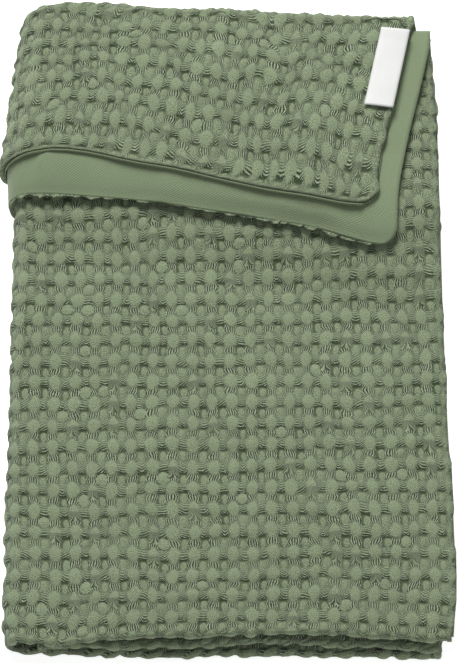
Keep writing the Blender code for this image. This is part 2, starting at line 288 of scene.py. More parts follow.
def edges_of(ply, x, y, roll):
    """The free edge and the tucked edge of one ply, at the y of each point."""
    line = {1: UNDER_FREE_EDGE, 2: FREE_EDGE, 3: LOWER_FLAP_EDGE, 4: UPPER_FLAP_EDGE}[ply]
    free, tucked = follow(line, y) + roll, follow(TUCKED_EDGE, y) - roll
    hem = {3: LOWER_HEM_LINE, 4: UPPER_HEM_LINE}.get(ply)
    if hem is None:
        return free, tucked
    hem_y = follow(hem, x)
    return rounded(free, y, hem_y, -1), rounded(tucked, y, hem_y, 1)


# %% [markdown]
# ## From the flat cloth to the fold
#
# `fold` is the heart of the lesson. It takes the two cell numbers and a depth below the waffle's
# outer face and returns a point. First it finds the ply and the height within one third. Then it
# finds the third, and lays that height on the stack, upright in the top and middle third, upside
# down in the bottom third, and swung round in the two side turns.
#
# A row of the cloth and a column of it depend on each other a little, because the hems are
# slanted. Four rounds of guess and correction are plenty.

# %% The fold itself
ROW_TILT = 0.012                    # rows of the big panel climb this much per metre to the right
PANEL_FRONT, PANEL_REAR = -0.2672, 0.2560
FRONT_BEND, REAR_BEND = 0.15, 0.30  # share of the panel in which its rows turn to its end lines
PANEL = 4                           # number of the big panel's part in SECTION
ROUNDS = 4                          # of guess and correction


def section_place(along, depth):
    """Ply numbers, share between the two lines, and place within one third."""
    out = {name: np.zeros_like(along) for name in ("share", "behind", "height", "next")}
    index = np.clip(np.searchsorted([part[1] for part in SECTION], along), 0, len(SECTION) - 1)
    for number, (start, end, ply, next_ply, _, _) in enumerate(SECTION):
        here = index == number
        share = (along[here] - start) / (end - start)
        base, sense = PLY_BASE[ply]
        height = base * PLY + sense * depth[here]
        if next_ply != ply:
            centre = TURN_MIDDLE[ply] * PLY
            radius, angle = height - centre, math.pi * share
            out["behind"][here] = TURN_WAY[ply] * np.abs(radius) * np.sin(angle)
            height = centre + radius * np.cos(angle)
        out["share"][here], out["height"][here] = share, height
    return index, out


def line_y(index, share, x, thirds):
    """The y of each point's row, before a turn carries it behind its line."""
    outer = follow(CUFF_FOLD_LINE, x)
    lines = {
        "upper_hem": follow(UPPER_HEM_LINE, x), "lower_hem": follow(LOWER_HEM_LINE, x),
        "outer_fold": outer, "inner_fold": outer + CUFF_INSIDE, "crest": crest_line(x, thirds),
    }
    names = list(lines)
    stack = np.stack([lines[name] for name in names])
    here = np.arange(len(x))
    start, end = (
        stack[np.array([names.index(part[place]) for part in SECTION])[index], here]
        for place in (4, 5))
    y = blend(start, end, share)
    straight = blend(PANEL_FRONT, PANEL_REAR, share) + ROW_TILT * x * np.sin(math.pi * share)
    straight += (start - PANEL_FRONT) * (1 - ease(share / FRONT_BEND))
    straight += (end - PANEL_REAR) * (1 - ease((1 - share) / REAR_BEND))
    return np.where(index == PANEL, straight, y)


def turn_ends(along):
    """Where the top third, left turn, bottom third and right turn end, for each point's row."""
    knots = np.array(TURNS)
    return [np.interp(along, knots[:, 0], knots[:, number]) for number in range(1, 5)]


def thirds_of(part, at):
    """How much each place belongs to the top, the middle and the bottom third."""
    left_share, right_share = np.where(part == 1, at, 0.0), np.where(part == 3, at, 0.0)
    return (
        np.where(part == 0, 1.0, np.where(part == 1, 1 - left_share, 0.0)),
        np.where(part == 4, 1.0, right_share),
        np.where(part == 2, 1.0, np.where(part == 3, 1 - right_share, left_share)),
    )


def fold(across, along, depth, roll=0.0):
    """Lay points of the flat cloth on the folded blanket. All arguments are arrays but the last."""
    index, place = section_place(along, depth)
    share, height = place["share"], place["height"]
    ends = turn_ends(along)
    starts, ends = [0 * along + FIRST_ACROSS, *ends], [*ends, 0 * along + LAST_ACROSS]
    part = sum((across > end).astype(int) for end in ends[:4])
    at = np.choose(part, [(across - a) / (b - a) for a, b in zip(starts, ends)])
    angle, thirds = math.pi * at, thirds_of(part, at)
    plies = np.array([section[2] for section in SECTION])[index]
    nexts = np.array([section[3] for section in SECTION])[index]
    x = np.choose(part, [0 * at, 0 * at + LEFT_TURN[0][1], 0 * at, 0 * at + RIGHT_TURN[0][1], 0 * at])
    for _ in range(ROUNDS):
        y = line_y(index, share, x, thirds)
        left, right = follow(LEFT_TURN, y), follow(RIGHT_TURN, y)
        free, tucked = (
            blend(np.choose(plies - 1, edge), np.choose(nexts - 1, edge), ease(share))
            for edge in zip(*(edges_of(ply, x, y, roll) for ply in (1, 2, 3, 4))))
        x = np.choose(part, [
            blend(free, left, at),
            left - (LEFT_LOOP + height) * np.sin(angle),
            blend(left, right, at),
            right + (RIGHT_LOOP + height) * np.sin(angle),
            blend(right, tucked, at),
        ])
    third = third_height(x, y, thirds)
    lower = third - FACE_AIR
    above = top_underside(np.where(part == 1, left, x), y, third)
    z = np.choose(part, [
        above + height,
        (above + lower) / 2 + ((above - lower) / 2 + height) * np.cos(angle),
        lower - height,
        lower - height * np.cos(angle),
        lower + height,
    ])
    points = np.stack([x, y + place["behind"], z], axis=1)
    return points - np.array(OUTLINE_MIDDLE)


corner = fold(np.array([10.0]), np.array([50.0]), np.array([0.00028]))
print("a pad in the middle of the big panel lies at", np.round(corner, 4).tolist())

# %% [markdown]
# ## A slab of cells
#
# Each cloth starts as a flat slab: a grid of unit squares with a thickness, whose corners carry
# whole numbers. The grid's lines are then looked up in two lists, which say how many cells each
# line stands at. So lines can be close together in a turn and far apart where nothing shows.
#
# A waffle cell has sharp hollows, so it wants a fine mesh, but only where somebody looks. Making
# the whole cloth fine would cost over half a million faces. Instead the edges of the squares that
# show are subdivided, first across and then along, and the squares beside them take the extra
# corners as a fan.

# %% Build a slab and refine what shows
def spaced_lines(*stretches):
    """Grid lines from stretches of (from, to, how many steps)."""
    lines = [stretches[0][0]]
    for start, end, steps in stretches:
        lines += [blend(start, end, (step + 1) / steps) for step in range(steps)]
    return np.array(lines)


def slab(column_count, row_count):
    """A grid of unit squares, given a thickness of 1."""
    mesh = bmesh.new()
    wide, long = column_count - 1, row_count - 1
    bmesh.ops.create_grid(
        mesh, x_segments=wide, y_segments=long, size=0.5,
        matrix=Matrix.Translation((wide / 2, long / 2, 0.0)) @ Matrix.Diagonal((wide, long, 1.0, 1.0)),
    )
    bmesh.ops.solidify(mesh, geom=mesh.faces[:], thickness=1.0)
    return mesh


def refine(mesh, columns, rows, shows, fineness):
    """Split the edges of the squares that show until each cell has fineness steps."""
    for axis, lines in ((0, columns), (1, rows)):
        groups = {}
        for face in mesh.faces:
            inside = any(abs(corner.co.z) > 0.5 for corner in face.verts)
            middle = face.calc_center_median()
            if not shows(np.interp(middle.x, range(len(columns)), columns),
                         np.interp(middle.y, range(len(rows)), rows), inside):
                continue
            for edge in face.edges:
                low, high = (corner.co[axis] for corner in edge.verts)
                if abs(high - low) < 0.5:
                    continue
                span = abs(np.interp(high, range(len(lines)), lines)
                           - np.interp(low, range(len(lines)), lines))
                groups.setdefault(max(round(span * fineness[axis]) - 1, 0), set()).add(edge)
        for cuts, edges in groups.items():
            if cuts:
                bmesh.ops.subdivide_edges(mesh, edges=list(edges), cuts=cuts, use_grid_fill=True,
                                          use_single_edge=True)
    return mesh


def cells_of(mesh, columns, rows):
    """Across, along and side of every corner, from its own coordinates."""
    co = np.array([corner.co for corner in mesh.verts])
    across = np.interp(co[:, 0], range(len(columns)), columns)
    along = np.interp(co[:, 1], range(len(rows)), rows)
    return across, along, np.abs(co[:, 2]) > 0.5


def finished(name, mesh, points, cells, material, values=()):
    """Move a slab's corners to their places and give it its UV map, values and material."""
    for corner, point in zip(mesh.verts, points.tolist()):
        corner.co = point
    if mesh.calc_volume(signed=True) < 0.0:
        bmesh.ops.reverse_faces(mesh, faces=mesh.faces[:])
    data = bpy.data.meshes.new(name)
    mesh.to_mesh(data)
    mesh.free()
    corners = np.zeros(len(data.loops), np.int32)
    data.loops.foreach_get("vertex_index", corners)
    layer = data.uv_layers.new(name="cells")
    layer.data.foreach_set("uv", np.stack(cells, axis=1)[corners].astype(np.float32).ravel())
    for key, value in dict(values).items():
        attribute = data.attributes.new(key, "FLOAT", "POINT")
        attribute.data.foreach_set("value", value.astype(np.float32))
    data.materials.append(material)
    data.shade_smooth()
    piece = bpy.data.objects.new(name, data)
    bpy.context.scene.collection.objects.link(piece)
    print(name, "has", sum(len(face.vertices) - 2 for face in data.polygons), "triangles")
    return piece


# %% [markdown]
# ## The relief of the waffle
#
# On the loom a waffle weave changes from plain weave to long loose threads and back. When the
# cotton is washed it shrinks, the plain squares stand up as pads, and between them lie three
# kinds of place: loose weft threads that run from pad to pad across, loose warp threads that run
# from pad to pad along, and a sunken little pillow in the middle of every four pads, with a dark
# furrow round it.
#
# The relief is a height for each corner of the mesh: the highest of four simple humps, softly
# blended where two of them meet. The mesh lines of a cell are crowded to where the furrows are, so
# no corner is wasted on flat cloth.
#
# Washed cotton is never even: each hump is a little stronger or weaker, from a fixed dice. Now and
# then a pad is pulled up to a tent, and now and then a pillow has popped up like a button.

# %% Uneven numbers that are the same in every run
dice = np.random.default_rng(21)
TABLE_SIZE = 101


def new_table():
    return dice.uniform(-1.0, 1.0, (TABLE_SIZE, TABLE_SIZE))


def one_each(table, across, along):
    """One number for each cell."""
    return table[np.floor(across).astype(int) % TABLE_SIZE, np.floor(along).astype(int) % TABLE_SIZE]


def drift(table, across, along, size):
    """Numbers that change smoothly over about size cells."""
    column, row = across / size, along / size
    left, low = np.floor(column), np.floor(row)
    u, v = ease(column - left), ease(row - low)
    lower = blend(one_each(table, left, low), one_each(table, left + 1, low), u)
    upper = blend(one_each(table, left, low + 1), one_each(table, left + 1, low + 1), u)
    return blend(lower, upper, v)


slip_table, slide_table, pad_table, float_table, pillow_table, lift_table = (
    new_table() for _ in range(6)
)
print("a few of them:", np.round(pad_table[0, :4], 2).tolist())

# %% The heights of one cell
RELIEF = 0.0026                             # metres for a height of 1
CROWD_ACROSS = (0.0, 0.205, 0.325, 0.400, 0.5, 0.600, 0.675, 0.795, 1.0)
CROWD_ALONG = (0.0, 0.135, 0.230, 0.305, 0.385, 0.5, 0.615, 0.695, 0.770, 0.865, 1.0)
PAD_TOP, WEFT_TOP, WARP_TOP = (0.84, 0.16), (0.64, 0.18), (0.66, 0.16)     # height, unevenness
PILLOW_TOP, BUTTON_TOP, BOTTOM = (0.57, 0.19), (0.68, 0.10), 0.30
PAD_WIDE, PAD_LONG, TENT_WIDE, TENT_LONG = (0.365, 0.055), (0.375, 0.045), 0.34, 0.40  # half sizes
WEFT_HALF, WARP_HALF, BUTTON_HALF, PILLOW_WIDE = 0.255, 0.300, 0.27, (0.205, 0.045)
PILLOW_FRONT, PILLOW_REAR, PILLOW_AT = 0.25, 0.32, -0.09
PAD_CORNERS, PILLOW_CORNERS = 2.9, 2.3      # 2 is an ellipse, and more is squarer
JOIN = 6                                    # the higher, the sharper two humps meet
TENT_BELOW, POPPED_ABOVE = -0.74, 0.87      # by the dice of the pad and of the pillow
POPPED_MARGIN = 0.016                       # metres from the edge of the cloth


def crowd(cells, places):
    """Move a cell's mesh lines to where its furrows and shoulders are."""
    whole = np.floor(cells + 1e-6)
    return whole + np.interp(cells - whole, np.linspace(0.0, 1.0, len(places)), places)


def uneven(size, dice_value):
    """A size, made larger or smaller by its unevenness."""
    return size[0] + size[1] * dice_value


def squarish(wide, long, corners):
    """How far out a place is, 1 all round a square with rounded corners."""
    return (np.abs(wide) ** corners + np.abs(long) ** corners) ** (1 / corners)


def highest(*heights):
    """The highest of some heights, with a soft change from one to the next."""
    return sum(height ** JOIN for height in heights) ** (1 / JOIN)


def hump(reach, power=0.55):
    """1 in the middle of a round hump, 0 from a reach of 1 on."""
    return np.clip(1 - reach ** 2, 0, 1) ** power


def to_edge(across, along):
    """Distance to the nearest edge of the cloth, in metres."""
    return np.minimum(
        np.minimum(across - FIRST_ACROSS, LAST_ACROSS - across) * CELL_WIDE,
        np.minimum(along - FIRST_ALONG, LAST_ALONG - along) * CELL_LONG,
    )


def is_tent(across, along):
    """Some pads are pulled up to a tent, with a fan of warp threads below."""
    return one_each(pad_table, across + 0.5, along + 0.5) < TENT_BELOW


def is_popped(across, along):
    """A few pillows have popped up."""
    puffed = one_each(pillow_table, across, along)
    return (puffed > POPPED_ABOVE) & (to_edge(across, along) > POPPED_MARGIN)


def relief(across, along):
    """Height of the cloth's face, from 0.3 in the furrows to 1 on the highest pads."""
    beside, above = across - np.round(across), along - np.round(along)
    gap_x, gap_y = across - np.floor(across) - 0.5, along - np.floor(along) - 0.5
    strong = one_each(pad_table, across + 0.5, along + 0.5)
    loose_weft = one_each(float_table, across, along + 0.5)
    loose_warp = one_each(float_table, across + 40.5, along)
    puffed = one_each(pillow_table, across, along)
    tent, popped = is_tent(across, along), is_popped(across, along)
    fan = TENT_WIDE * np.clip(0.80 - 1.7 * above, 0.25, 1.25)
    reach_x = np.where(tent, fan, uneven(PAD_WIDE, strong))
    reach_y = np.where(tent, TENT_LONG, uneven(PAD_LONG, loose_warp))
    pad = uneven(PAD_TOP, strong) * hump(squarish(beside / reach_x, above / reach_y, PAD_CORNERS))
    weft = uneven(WEFT_TOP, loose_weft) * hump((above - 0.02) / WEFT_HALF)
    warp = uneven(WARP_TOP, loose_warp) * hump(beside / WARP_HALF) * (1 - 0.14 * hump(gap_y / 0.20))
    warp *= np.where(is_tent(across, along - 0.5), 0.55, 1.0)
    around = np.sqrt((gap_x / BUTTON_HALF) ** 2 + ((gap_y + 0.03) / BUTTON_HALF) ** 2)
    trench = 1 - 0.35 * popped * np.exp(-((around - 1.10) / 0.18) ** 2)
    moved, wide = gap_x + 0.06 * loose_weft, uneven(PILLOW_WIDE, puffed)
    long = np.where(gap_y < PILLOW_AT, PILLOW_FRONT, PILLOW_REAR) + 0.05 * loose_warp
    pillow = uneven(PILLOW_TOP, puffed) * hump(
        squarish(moved / wide, (gap_y - PILLOW_AT) / long, PILLOW_CORNERS), 0.65)
    pillow = np.where(popped, uneven(BUTTON_TOP, loose_weft) * hump(around, 0.60), pillow)
    return np.minimum(highest(BOTTOM, highest(pad, weft, warp) * trench, pillow), 1.0)


print("pad, weft, warp, pillow:", np.round(relief(
    np.array([3.0, 3.5, 3.0, 3.5]), np.array([5.0, 5.0, 5.5, 5.5])), 2).tolist())

# %% [markdown]
# ## Puckers
#
# Two more things break the even look. The cells wander a little sideways, more in the flap than in
# the big panel, and the cloth rises and falls gently over one to five cells, because the lining
# did not shrink as much as the waffle. The wander fades out at the edges and the lift at the folds,
# so the layers keep their room.
#
# As the picture shows them, the hems of the top third hang up to eight millimetres further forward
# than in the plain solids. Only right of the middle the lower one lies up to two millimetres back.
# Two short tables say how far, by the place from left to right. The lower hem is also pressed a
# little thinner by the hem above it.

# %% Wander and lift
FLAP_WANDER, PANEL_WANDER, CALM_EDGE = 2.5, 1.15, 0.012
WANDERS = ((0.55, 0.035), (1.3, 0.075), (3.1, 0.080), (7.0, 0.10))      # size and reach, in cells
FLAP_LIFT, PANEL_LIFT, LIFT_ENDS = 0.0030, 0.0015, 20.0
LIFTS = ((0.9, 0, 0, 0.30), (2.2, 0, 50, 0.30), (5.0, 50, 0, 0.20))     # size, offsets and share


def wandered(across, along):
    """Where a place of the cloth has slipped to, in cells."""
    loose = np.where(along < FLAP_BACK, FLAP_WANDER, PANEL_WANDER)
    freedom = loose * ease(to_edge(across, along) / CALM_EDGE)
    slip, slide = 0.0, 0.0
    for size, reach in WANDERS:
        slip += reach * drift(slip_table, across, along, size)
        slide += reach * drift(slide_table, across + 30, along + 17, size)
    return across + freedom * slip, along + freedom * slide


def lifted(across, along):
    """How far the cloth of the top third stands off the layer below."""
    on_flap = ease((FLAP_BACK - along) / 1.5) * (0.25 + 0.75 * ease((along - FIRST_ALONG) / 2.0))
    on_panel = ease((along - FRONT) / 2.0) * ease((COVERED - along) / 3.0)
    on_top = ease((LIFT_ENDS - across) / 3.0)
    wave = 0.5
    for size, over, up, share in LIFTS:
        wave = wave + share * drift(lift_table, across + over, along + up, size)
    return on_top * (FLAP_LIFT * on_flap + PANEL_LIFT * on_panel) * np.clip(wave, 0, 1)


UPPER_HANG = (
    (-0.172, 0.0085), (-0.165, 0.0076), (-0.150, 0.0045), (-0.134, 0.0030), (-0.102, 0.0050),
    (-0.070, 0.0060), (-0.039, 0.0060), (-0.007, 0.0075), (0.025, 0.0070), (0.057, 0.0045),
    (0.089, 0.0046), (0.106, 0.0034), (0.120, 0.0027), (0.132, 0.0005),
)
LOWER_HANG = (
    (-0.166, 0.0040), (-0.150, 0.0032), (-0.134, 0.0026), (-0.102, 0.0034), (-0.039, 0.0030),
    (0.000, 0.0014), (0.025, 0.0004), (0.041, -0.0002), (0.057, -0.0014), (0.072, -0.0018),
    (0.085, -0.0010), (0.100, 0.0004), (0.118, 0.0018), (0.130, 0.0008), (0.140, 0.0),
)
UPPER_REACH, LOWER_REACH, PRESS_REACH = 3.0, 1.5, 0.5     # in cells from the hem
UPPER_DROP = 0.28        # the upper hem comes down by this share of what it hangs forward
LOWER_PRESS = 0.22       # share of its thickness that the cloth loses along the lower hem


def hung(points, across, along, depth):
    """Move both hems of the top third by what their tables say, and press the lower one."""
    x = points[:, 0] + OUTLINE_MIDDLE.x
    on_top = ease((TOP_THIRD - across) / 2.0)
    upper = follow(UPPER_HANG, x) * ease(1 - (along - FIRST_ALONG) / UPPER_REACH) * on_top
    lower = follow(LOWER_HANG, x) * ease(1 - (LAST_ALONG - along) / LOWER_REACH) * on_top
    pressed = LOWER_PRESS * depth * ease(1 - (LAST_ALONG - along) / PRESS_REACH) * on_top
    return points - np.stack([0 * x, upper + lower, UPPER_DROP * upper + pressed], axis=1)


print("lift in the flap, mm:", np.round(1000 * lifted(np.array([8.0]), np.array([4.0])), 2).tolist())

# %% [markdown]
# ## Shader maths
#
# A procedural material is a long sum, and sums are easier to read as sums. `Wire` holds one socket
# of a node tree. Adding or multiplying wires adds Math nodes, and every other node comes from
# `node`, which takes its kind, its settings and what goes into it.

# %% A small language for materials
class Wire:
    """A value on its way through a material."""

    def __init__(self, tree, socket=None):
        self.tree, self.socket = tree, socket

    def node(self, kind, settings=(), values=(), out=0):
        made = self.tree.nodes.new(kind)
        for name, value in dict(settings).items():
            setattr(made, name, value)
        for name, value in dict(values).items():
            if isinstance(value, Wire):
                self.tree.links.new(value.socket, made.inputs[name])
            else:
                made.inputs[name].default_value = value
        return Wire(self.tree, made.outputs[out])

    def maths(self, operation, *values):
        return self.node("ShaderNodeMath", {"operation": operation}, enumerate(values))

    def __add__(self, other):
        return self.maths("ADD", self, other)

    __radd__ = __add__

    def __sub__(self, other):
        return self.maths("SUBTRACT", self, other)

    def __rsub__(self, other):
        return self.maths("SUBTRACT", other, self)

    def __mul__(self, other):
        return self.maths("MULTIPLY", self, other)

    __rmul__ = __mul__

    def __abs__(self):
        return self.maths("ABSOLUTE", self)

    def floor(self):
        return self.maths("FLOOR", self)

    def nearest(self):
        return self.maths("ROUND", self)

    def root(self):
        return self.maths("SQRT", self)

    def power(self, exponent):
        return self.maths("POWER", self, exponent)

    def larger(self, other):
        return self.maths("MAXIMUM", self, other)

    def wave(self):
        """1 on whole numbers and 0 half way between them."""
        return self.maths("COSINE", self * (2 * math.pi)) * 0.5 + 0.5

    def step(self, low, high):
        """0 below low, 1 above high, smooth between them."""
        return self.node("ShaderNodeMapRange", {"interpolation_type": "SMOOTHSTEP"},
                         {"Value": self, "From Min": low, "From Max": high})

    def colour(self, low, high):
        """The colour between two, by this wire."""
        return self.node("ShaderNodeMix", {"data_type": "RGBA"}, {0: self, 6: low, 7: high}, out=2)


def new_material(name, roughness, sheen):
    """A plain Principled material, with the settings that are the same all over."""
    material = bpy.data.materials.new(name)
    material.use_nodes = True
    shader = material.node_tree.nodes["Principled BSDF"]
    shader.inputs["Roughness"].default_value = roughness
    shader.inputs["Specular IOR Level"].default_value = 0.25
    shader.inputs["Sheen Weight"].default_value = sheen
    shader.inputs["Sheen Roughness"].default_value = 0.5
    return material, shader, Wire(material.node_tree)


def connect(shader, name, wire):
    """Let a wire feed one of the shader's sockets."""
    wire.tree.links.new(wire.socket, shader.inputs[name])


def cells_map(start):
    return start.node("ShaderNodeUVMap", {"uv_map": "cells"})


def cells_uv(start):
    """Across and along, from the piece's own UV map."""
    split = start.node("ShaderNodeSeparateXYZ", (), {0: cells_map(start)})
    return split, Wire(start.tree, split.socket.node.outputs[1])


def noise(start, scale, detail, distortion=0.0, place=None):
    """Soft clouds of numbers between 0 and 1. Scale says how many there are to a unit."""
    return start.node("ShaderNodeTexNoise", (), {
        "Vector": place or cells_map(start), "Scale": scale, "Detail": detail,
        "Distortion": distortion})


def bump(start, strength, distance, height):
    return start.node("ShaderNodeBump", (), {
        "Strength": strength, "Distance": distance, "Height": height})


def cell_dice(start, column, row):
    """One number from 0 to 1 for each cell."""
    place = start.node("ShaderNodeCombineXYZ", (), {0: column, 1: row})
    return start.node("ShaderNodeTexWhiteNoise", {"noise_dimensions": "2D"}, {"Vector": place})


print("a wire knows:", [name for name in vars(Wire) if name.isalpha()])

# %% [markdown]
# ## Waffle cotton
#
# The mesh holds pads, floats and pillows. The yarns are too thin for it, so they are in the
# material: lines across in the weft floats, which sag to a smile between two pads, lines along in
# the warp floats, spread to a fan below a tent, and a fine plain weave on the pads. The pressed
# band at the hems is crumpled instead. The colour is one sage dye. Shade and light are partly
# painted into it. Painted shade is a deeper green, as where light has bounced from cotton to
# cotton, and it lies in the furrows, below the floats, between the yarns and in the low places. A
# painted highlight makes single yarns paler where they catch the light.
#
# Where the mesh is coarse, nothing is carved, and the value "carved" tells the material to put
# the furrows in its bump instead.

# %% Waffle material
SAGE_LIGHT = (0.246, 0.303, 0.183, 1.0)
SAGE_MID = (0.104, 0.132, 0.075, 1.0)
# The next colour is painted shade, and the one after it is a painted highlight.
SAGE_PAINTED_SHADE = (0.024, 0.042, 0.013, 1.0)
SAGE_PAINTED_HIGHLIGHT = (0.42, 0.48, 0.34, 1.0)      # single yarns that catch the light
WEFT_YARNS, WARP_YARNS, PAD_YARNS = 9.5, 8.0, 13.0      # a cell
YARN_LEVEL = 0.60                        # what counts as yarn where no single one shows
WARP_OFFSET, PILLOW_OFFSET = 0.37, 0.61  # each kind of place rolls its own dice
PAD_BORDER, BUTTON_BORDER, FURROW_BORDER = (0.82, 1.14), (0.90, 1.05), (0.55, 1.15)
WEFT_BORDER, WARP_BORDER, FAN_BORDER = (0.205, 0.250), (0.265, 0.315), (0.26, 0.34)
# painted shade: how strongly the furrows, the arcs below the floats, the gaps between yarns, the low
# places and the trenches are darkened
FURROW_SHADE, ARC_SHADE, GAP_SHADE, LOW_SHADE, TRENCH_SHADE = (0.14, 0.60), 0.58, 1.10, 0.06, 0.22
FURROW_DEEP, ARC_DEEP, OUTSIDE_DEEP, TRENCH_DEEP = 0.7, 0.5, 0.25, 0.4
# painted highlight on the lit crests of single yarns, and the bump's distance
CREST_PAINTED_HIGHLIGHT, WAFFLE_BUMP = 0.78, 0.0005


def waffle_places(start):
    """Where a point is on its pad and its floats, what the mesh says of it, and its dice."""
    at = SimpleNamespace()
    at.across, at.along = cells_uv(start)
    at.carved, at.open_cloth, at.popped, at.tent = (
        start.node("ShaderNodeAttribute", {"attribute_name": name}, out=2)
        for name in ("carved", "open", "popped", "tent"))
    column, row = at.across.floor(), at.along.floor()
    pad_column, pad_row = at.across.nearest(), at.along.nearest()
    at.beside, at.above = at.across - pad_column, at.along - pad_row
    at.weft_way, at.warp_way = at.across - column - 0.5, at.along - row - 0.5
    at.weft_dice = cell_dice(start, column, pad_row)
    at.warp_dice = cell_dice(start, pad_column + WARP_OFFSET, row)
    at.pillow_dice = cell_dice(start, column + PILLOW_OFFSET, row + PILLOW_OFFSET)
    at.wobble = noise(start, 2.3, 1.0) - 0.5
    at.fuzz = noise(start, 21.0, 2.0) - 0.5
    at.dye = noise(start, 0.22, 3.0) - 0.5
    at.rough = at.fuzz * 0.55 + at.wobble * 0.50
    return at


def waffle_zones(at):
    """Add the zones: all outside the pads, weft floats, warp floats, a tent's fan and the rest."""
    side, end = abs(at.beside) * (3.10 + at.tent * (at.above + 0.12) * 4.5), abs(at.above) * 2.70
    from_pad = ((side + end) * 0.74).larger(side.larger(end)) + at.rough * 1.2
    from_middle = (at.weft_way * at.weft_way * 11.9 + at.warp_way * at.warp_way * 13.7).root()
    at.from_button = from_middle + at.rough * 0.3
    button = at.popped * (1 - at.from_button.step(*BUTTON_BORDER))
    at.outside = from_pad.step(*PAD_BORDER) * (0.25 + at.open_cloth * 0.75) * (1 - button)
    from_row, from_column = abs(at.above - 0.01) + at.rough * 0.1, abs(at.beside) + at.rough * 0.1
    at.weft = at.outside * (1 - from_row.step(*WEFT_BORDER))
    at.fan = at.tent * (at.above * -1.0).step(-0.02, 0.12) * (1 - from_column.step(*FAN_BORDER))
    warp = at.outside * (1 - at.weft) * (1 - from_column.step(*WARP_BORDER))
    at.warp = warp.larger(at.fan * at.open_cloth)
    at.low = at.outside * (1 - at.weft) * (1 - at.warp)


def waffle_hollows(at):
    """Add the hollows, which get painted shade in the colour and depth in the bump: trench round a
    button, furrow round a pillow, arc below a float.
    """
    # painted shade in a trench along the front of a popped pillow's rim; the bump sinks it too
    in_front = (at.weft_way * 1.2 - at.warp_way).step(-0.25, 0.2)
    rim = at.from_button.step(0.86, 1.02) * (1 - at.from_button.step(1.06, 1.28))
    at.trench = at.popped * rim * in_front
    # painted shade in a furrow round each pillow, which the bump also sinks
    moved, down = at.weft_way + (at.pillow_dice - 0.5) * 0.14, at.warp_way + 0.07
    ring = (moved * moved * 34.0 + down * down * 17.0) * (0.65 + at.weft_dice * 0.80)
    open_place = at.outside * (1 - at.weft) * (1 - at.warp * 0.85)
    at.furrow = open_place * (ring + at.rough * 1.3).step(*FURROW_BORDER)
    at.bend = abs(at.weft_way).power(1.3) * (0.22 - at.weft_dice) * 1.5
    # painted shade in an arc below each weft float, where the float shades the cloth in front of it;
    # the bump sinks it too
    sag = at.above + at.bend * 0.35 + at.rough * 0.12
    below = sag.step(-0.09, -0.22) * (1 - sag.step(-0.24, -0.38))
    between_pads = 1 - abs(at.weft_way).step(0.16, 0.27)
    at.arc = at.outside * below * between_pads * (0.45 + at.weft_dice * 0.9)


def waffle_yarns(at):
    """Add the yarns, 1 on a yarn and 0 beside it, with painted shade in their gaps and a painted
    highlight on their lit crests.
    """
    kink = ((at.weft_dice * 5.3).wave() - 0.4) * at.weft_way * 0.9
    weft_place = at.along + at.bend + kink + at.wobble * 0.14
    weft_line = (weft_place * WEFT_YARNS + at.fuzz * 0.9).wave().step(0.15, 0.85)
    spread = 1.0 + at.warp_way * at.warp_way * 11.0 + at.fan * at.above * 1.6
    warp_place = at.beside * spread + (at.warp_dice - 0.5) * at.warp_way * 0.9 + at.wobble * 0.14
    warp_line = (warp_place * WARP_YARNS + at.warp_dice * 3.0 + at.fuzz * 0.9).wave().step(0.15, 0.85)
    over, up = at.across * PAD_YARNS, at.along * PAD_YARNS
    at.grain = (over + up + at.fuzz * 1.5).wave() * (over - up).wave()
    at.yarn = at.weft * weft_line + at.warp * warp_line + (1 - at.weft - at.warp) * YARN_LEVEL
    # painted shade in the gaps between yarns, stronger at the front of a weft float, where it is in
    # shade
    front, clear = (at.above * -1.0).step(-0.08, 0.24), 0.35 + at.pillow_dice * 0.95
    at.gaps = (at.weft * (1 - weft_line) * (0.25 + front * 1.25)
               + at.warp * (1 - warp_line) * clear * (1 - at.fan * 0.45))
    # painted highlight on the lit crests of single yarns
    lit_weft, lit_warp = (line.step(0.55, 1.0) for line in (weft_line, warp_line))
    at.crest = (at.weft * lit_weft * (0.10 + front * 0.75) * (0.3 + at.weft_dice * 0.9)
                + at.warp * lit_warp * clear * (0.55 - at.fan * 0.40))


def waffle_material():
    material, shader, start = new_material("waffle_cotton", 0.95, 0.10)
    at = waffle_places(start)
    waffle_zones(at)
    waffle_hollows(at)
    waffle_yarns(at)
    crumple = (1 - at.open_cloth) * (noise(start, 8.0, 2.0, 1.5) - 0.5)
    # painted shade: the furrows, arcs, gaps between yarns, low places and trenches are painted towards
    # the deep green
    painted_shade = (at.furrow * (FURROW_SHADE[0] + at.pillow_dice * FURROW_SHADE[1]) + at.arc * ARC_SHADE
            + at.gaps * GAP_SHADE + at.low * LOW_SHADE + at.trench * TRENCH_SHADE)
    # tone from dye, fuzz, yarns and grain, with painted shade outside the pads and in the low places
    tone = (0.68 + crumple * 2.2 + at.dye * 0.4 + at.fuzz * 4.4 + (at.yarn - YARN_LEVEL)
            + (at.grain - 0.25) * 0.26 - at.outside * 0.06 - at.low * 0.06)
    dye_and_painted_shade = tone.step(-0.1, 1.2).colour(SAGE_MID, SAGE_LIGHT)
    # painted shade first, then the painted highlight on lit yarns
    paint = (at.crest * CREST_PAINTED_HIGHLIGHT).colour(painted_shade.step(0.0, 1.15).colour(dye_and_painted_shade, SAGE_PAINTED_SHADE), SAGE_PAINTED_HIGHLIGHT)
    connect(shader, "Base Color", paint)
    uncarved = (1 - at.carved) * (at.outside * -3.0 - at.furrow * 4.0)
    height = (at.yarn * 2.3 + at.grain * 0.35 + at.fuzz * 2.6 + crumple * 5.0 + uncarved
              - at.furrow * FURROW_DEEP - at.arc * ARC_DEEP - at.outside * OUTSIDE_DEEP
              - at.trench * TRENCH_DEEP)
    connect(shader, "Normal", bump(start, 1.0, WAFFLE_BUMP, height))
    return material


waffle_cotton = waffle_material()
print("waffle nodes:", len(waffle_cotton.node_tree.nodes))

